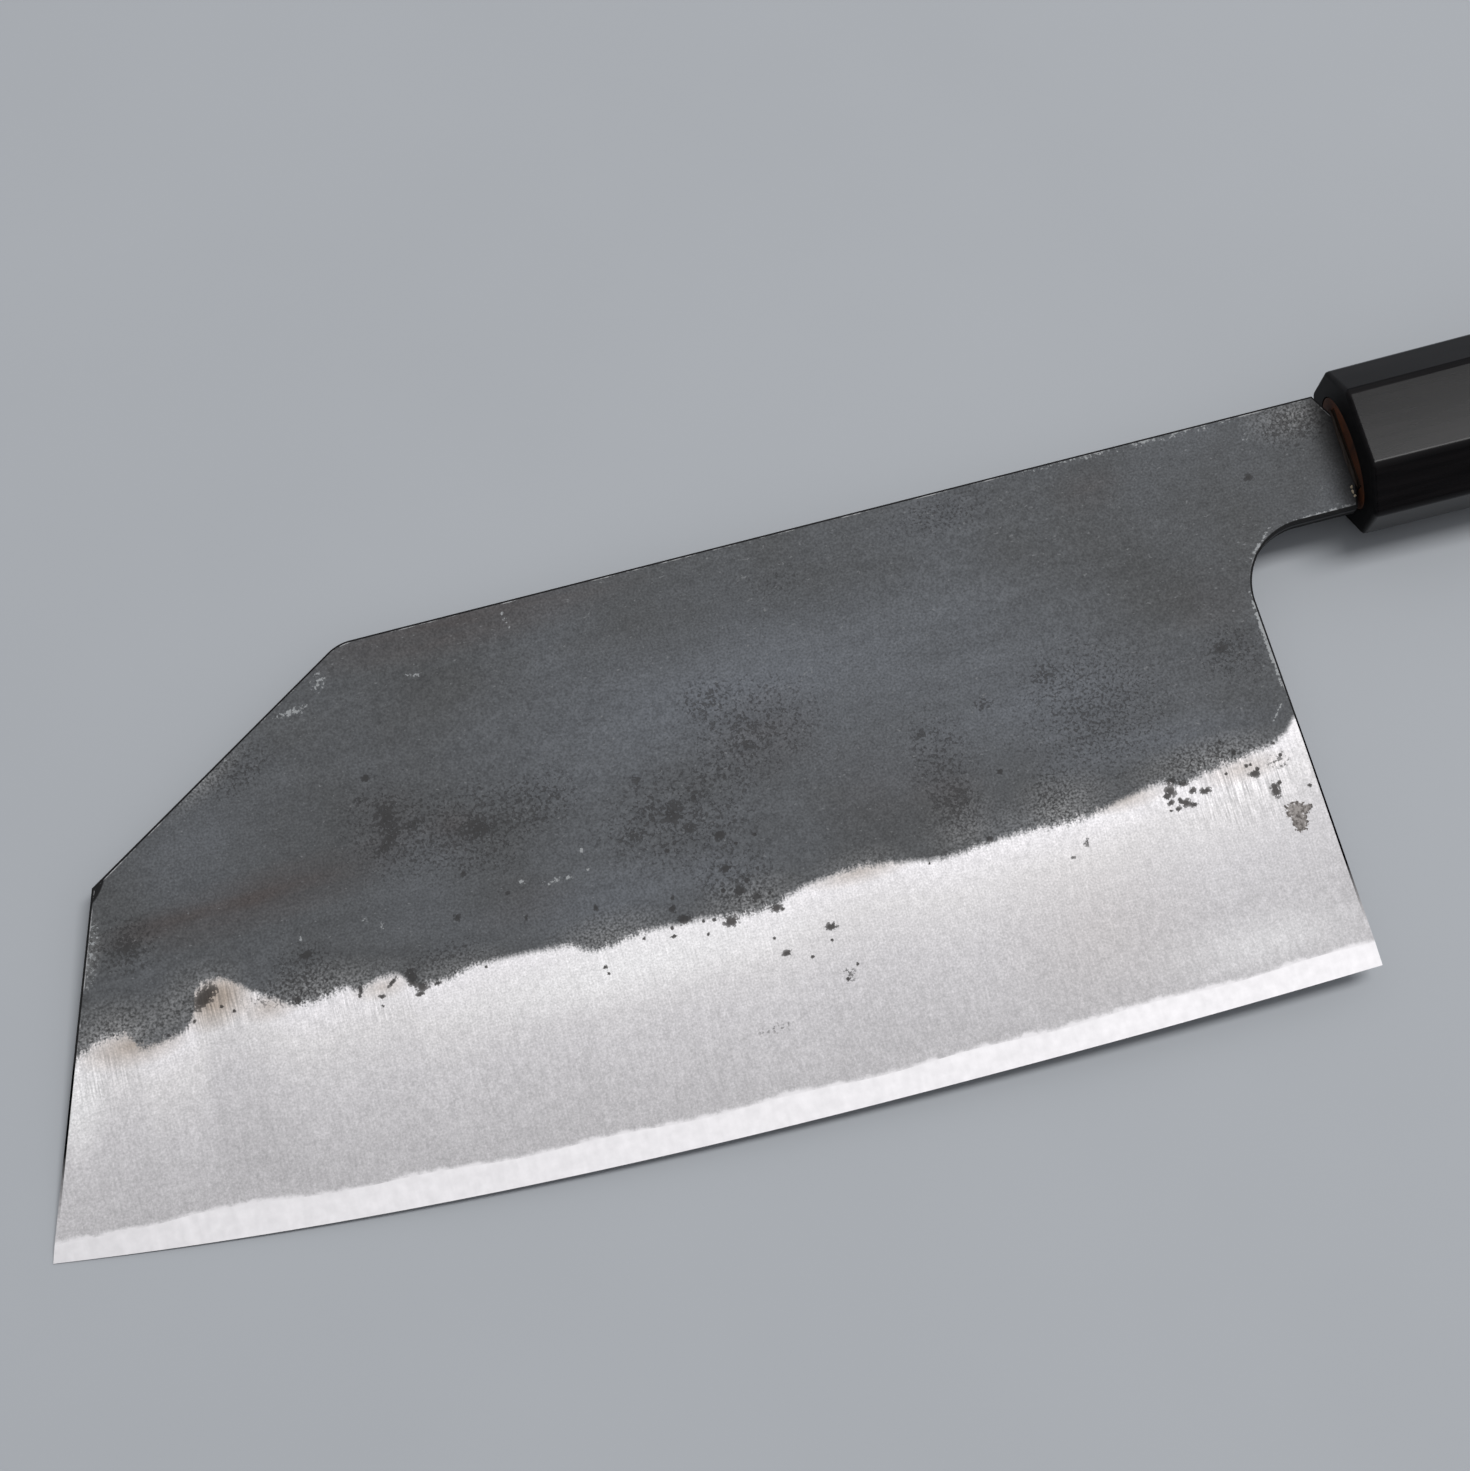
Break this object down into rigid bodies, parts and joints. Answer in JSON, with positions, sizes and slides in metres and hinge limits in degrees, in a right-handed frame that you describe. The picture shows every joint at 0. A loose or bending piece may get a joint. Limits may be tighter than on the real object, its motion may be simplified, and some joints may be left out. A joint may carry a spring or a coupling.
{
  "type": "bunka knife",
  "caption": "Forged laminated kitchen knife: tall blade with clipped point, dark forge scale over a ground bevel, horn ferrule and octagonal wooden handle on a hidden tang.",
  "frame": {"origin": "centre of the footprint of the knife's box, on the surface that the handle lies on with the right face of the blade down", "axes": "+X along the handle towards its butt, +Y from the cutting edge towards the spine, +Z out of the left face of the blade"},
  "size_m": [0.3546, 0.0891, 0.022],
  "materials": {
    "core_steel": "bright stone-ground hard steel",
    "scaled_iron": "dark forge scale above, matt blasted bevel below",
    "black_horn": "polished satin black",
    "dark_hardwood": "oiled",
    "cured_resin": "cured, slightly cloudy"
  },
  "bodies": {
    "root": {"core_steel": "core_steel", "left_cladding": "scaled_iron", "right_cladding": "scaled_iron", "horn_ferrule": "black_horn", "handle_body": "dark_hardwood", "tang_resin": "cured_resin"}
  },
  "joints": []
}
